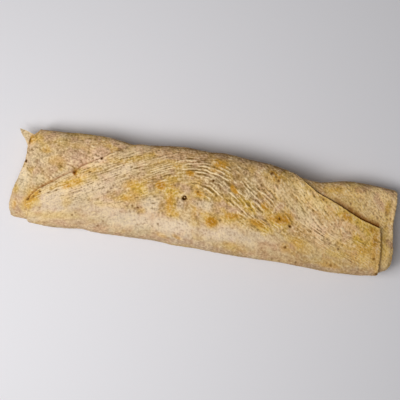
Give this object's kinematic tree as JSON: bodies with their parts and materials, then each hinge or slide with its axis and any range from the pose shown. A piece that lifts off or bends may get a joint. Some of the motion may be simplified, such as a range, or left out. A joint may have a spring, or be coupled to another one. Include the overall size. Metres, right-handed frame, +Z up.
{
  "type": "flatbread wrap",
  "caption": "Rolled wholemeal flatbread wrap with folded ends, its loose edge lying over the top, resting on a flat underside.",
  "frame": {"origin": "middle of the footprint, on the surface that the wrap rests on", "axes": "+X along the roll towards the end where the loose edge stands up, +Y towards the side where the loose edge goes over the back, +Z up"},
  "size_m": [0.2216, 0.0582, 0.0286],
  "materials": {
    "bread": "dry wholemeal flatbread, matte, pale and floury with toasted golden-brown spots"
  },
  "bodies": {
    "root": {"flatbread_wrap": "bread"}
  },
  "joints": []
}
